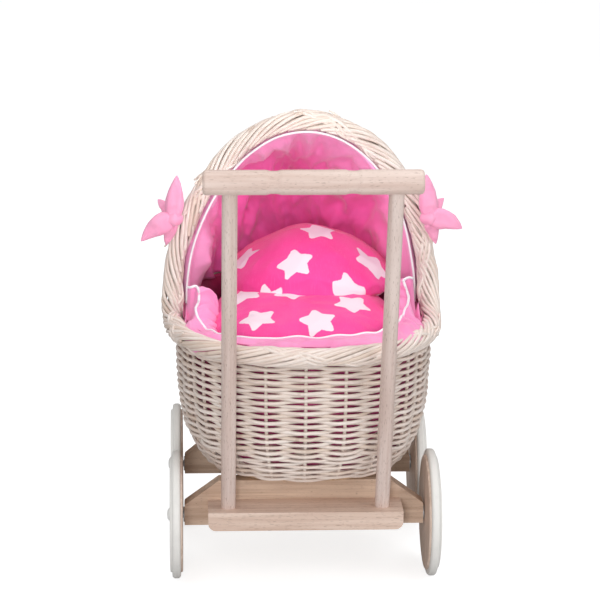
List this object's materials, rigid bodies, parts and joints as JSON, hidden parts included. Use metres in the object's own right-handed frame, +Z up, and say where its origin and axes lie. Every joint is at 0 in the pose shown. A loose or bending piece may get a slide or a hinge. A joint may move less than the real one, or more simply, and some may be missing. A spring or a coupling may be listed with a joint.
{
  "type": "doll stroller",
  "caption": "Wicker doll's pram with a woven hood, pink lining, star-print bedding, wooden wheels and a leaning wooden push handle.",
  "frame": {"origin": "on the ground, in the middle of the pram's length and width", "axes": "+Z up, +Y from the push handle towards the hood, +X to the right for the person pushing"},
  "size_m": [0.3768, 0.509, 0.534],
  "materials": {
    "beech": "pale beech, unvarnished",
    "tyre_rubber": "satin off-white",
    "white_plastic": "satin white",
    "screw_steel": "zinc plated",
    "wicker": "bleached willow, satin",
    "base_board": "plain plywood",
    "lining_pink": "light pink cotton",
    "piping_white": "white cotton piping",
    "star_cotton": "hot pink cotton with white stars",
    "mattress_ticking": "white cotton"
  },
  "bodies": {
    "pram": {"rear_cross_beam": "beech", "front_cross_beam": "beech", "handle_lath": "beech", "handle_dowel_left": "beech", "handle_dowel_right": "beech", "handle_grip": "beech", "axle_screws": "screw_steel", "axle_washers": "screw_steel", "lath_screws": "screw_steel", "basket_screws": "screw_steel", "basket_wall_foot_left": "wicker", "basket_wall_foot_right": "wicker", "basket_wall_head_left": "wicker", "basket_wall_head_right": "wicker", "hood_shell": "wicker", "plaited_border": "wicker", "basket_base": "base_board", "basket_lining": "lining_pink", "hood_lining": "lining_pink", "bow_left": "lining_pink", "bow_right": "lining_pink", "basket_piping": "piping_white", "hood_piping": "piping_white", "pillow": "star_cotton", "duvet": "star_cotton", "mattress": "mattress_ticking"},
    "wheel_rear_left": {"wheel_disc_rear_left": "beech", "tyre_rear_left": "tyre_rubber", "hub_bush_rear_left": "white_plastic", "hub_cap_rear_left": "white_plastic"},
    "wheel_rear_right": {"wheel_disc_rear_right": "beech", "tyre_rear_right": "tyre_rubber", "hub_bush_rear_right": "white_plastic", "hub_cap_rear_right": "white_plastic"},
    "wheel_front_left": {"wheel_disc_front_left": "beech", "tyre_front_left": "tyre_rubber", "hub_bush_front_left": "white_plastic", "hub_cap_front_left": "white_plastic"},
    "wheel_front_right": {"wheel_disc_front_right": "beech", "tyre_front_right": "tyre_rubber", "hub_bush_front_right": "white_plastic", "hub_cap_front_right": "white_plastic"}
  },
  "joints": [
    {"name": "wheel_rear_left_spin", "type": "hinge", "parent": "pram", "child": "wheel_rear_left", "pos_m": [-0.15, -0.076, 0.075], "axis": [1, 0, 0], "continuous": true},
    {"name": "wheel_rear_right_spin", "type": "hinge", "parent": "pram", "child": "wheel_rear_right", "pos_m": [0.15, -0.076, 0.075], "axis": [1, 0, 0], "continuous": true},
    {"name": "wheel_front_left_spin", "type": "hinge", "parent": "pram", "child": "wheel_front_left", "pos_m": [-0.15, 0.104, 0.075], "axis": [1, 0, 0], "continuous": true},
    {"name": "wheel_front_right_spin", "type": "hinge", "parent": "pram", "child": "wheel_front_right", "pos_m": [0.15, 0.104, 0.075], "axis": [1, 0, 0], "continuous": true}
  ]
}
